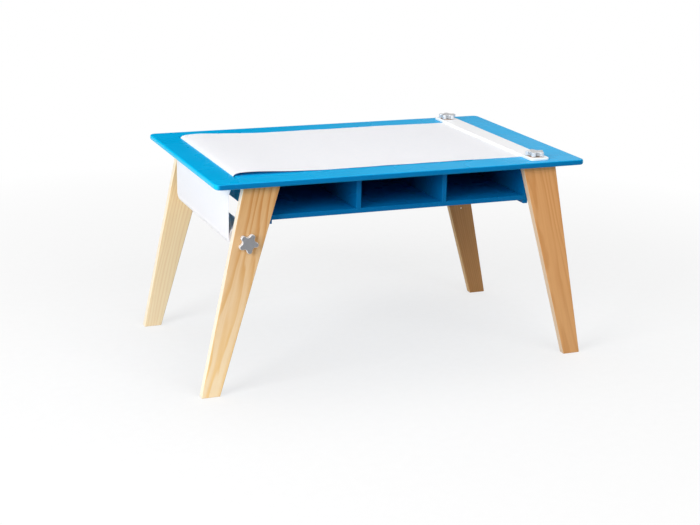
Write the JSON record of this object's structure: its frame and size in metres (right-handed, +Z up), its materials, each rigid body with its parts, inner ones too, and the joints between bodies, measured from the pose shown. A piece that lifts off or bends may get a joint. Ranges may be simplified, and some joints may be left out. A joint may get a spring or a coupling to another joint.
{
  "type": "children's craft table",
  "caption": "Low craft table with splayed board legs, open cubbies under the top, a paper roll fed through a slot, and a screw-down paper clamp bar.",
  "frame": {"origin": "on the floor, under the middle of the table top", "axes": "+X along the table towards the clamp bar, +Y from the open front to the back, +Z up"},
  "size_m": [1.021, 0.612, 0.5382],
  "materials": {
    "table_paint": "glossy bright blue paint on board",
    "leg_wood": "clear satin lacquer on pine",
    "plain_wood": "bare pine",
    "bar_paint": "glossy white paint",
    "knob_plastic": "silver grey moulded plastic",
    "steel": "zinc plated",
    "washer_brass": "yellow passivated",
    "cardboard": "brown cardboard",
    "paper": "matt white paper"
  },
  "bodies": {
    "frame": {"table_top": "table_paint", "tray_bottom": "table_paint", "tray_back": "table_paint", "tray_side_left": "table_paint", "tray_side_right": "table_paint", "divider_left": "table_paint", "divider_right": "table_paint", "leg_front_left": "leg_wood", "leg_front_right": "leg_wood", "leg_back_left": "leg_wood", "leg_back_right": "leg_wood", "corner_block_front_left": "plain_wood", "corner_block_front_right": "plain_wood", "corner_block_back_left": "plain_wood", "corner_block_back_right": "plain_wood", "roll_axle": "plain_wood", "leg_bolts": "steel", "leg_inserts": "steel", "block_screws": "steel", "top_screws": "steel", "divider_screws": "steel", "axle_inserts": "steel", "clamp_inserts": "steel", "paper_web": "paper"},
    "roll": {"roll_core": "cardboard", "paper_roll": "paper"},
    "front_roll_knob": {"roll_knob_front": "knob_plastic", "roll_stud_front": "steel"},
    "back_roll_knob": {"roll_knob_back": "knob_plastic", "roll_stud_back": "steel"},
    "clamp": {"clamp_bar": "bar_paint", "clamp_washers": "washer_brass"},
    "front_clamp_knob": {"clamp_knob_front": "knob_plastic", "clamp_stud_front": "steel"},
    "back_clamp_knob": {"clamp_knob_back": "knob_plastic", "clamp_stud_back": "steel"}
  },
  "joints": [
    {"name": "roll_spin", "type": "hinge", "parent": "frame", "child": "roll", "pos_m": [-0.3965, 0, 0.373], "axis": [0, 1, 0], "continuous": true},
    {"name": "roll_knob_front_turn", "type": "hinge", "parent": "frame", "child": "front_roll_knob", "pos_m": [-0.3965, -0.2852, 0.373], "axis": [0, -1, 0], "continuous": true},
    {"name": "roll_knob_back_turn", "type": "hinge", "parent": "frame", "child": "back_roll_knob", "pos_m": [-0.3965, 0.2852, 0.373], "axis": [0, 1, 0], "continuous": true},
    {"name": "clamp_lift", "type": "slide", "parent": "frame", "child": "clamp", "axis": [0, 0, 1], "range_m": [0, 0.006]},
    {"name": "clamp_knob_front_turn", "type": "hinge", "parent": "clamp", "child": "front_clamp_knob", "pos_m": [0.3635, -0.255, 0.5264], "axis": [0, 0, 1], "continuous": true},
    {"name": "clamp_knob_back_turn", "type": "hinge", "parent": "clamp", "child": "back_clamp_knob", "pos_m": [0.3635, 0.255, 0.5264], "axis": [0, 0, 1], "continuous": true}
  ]
}
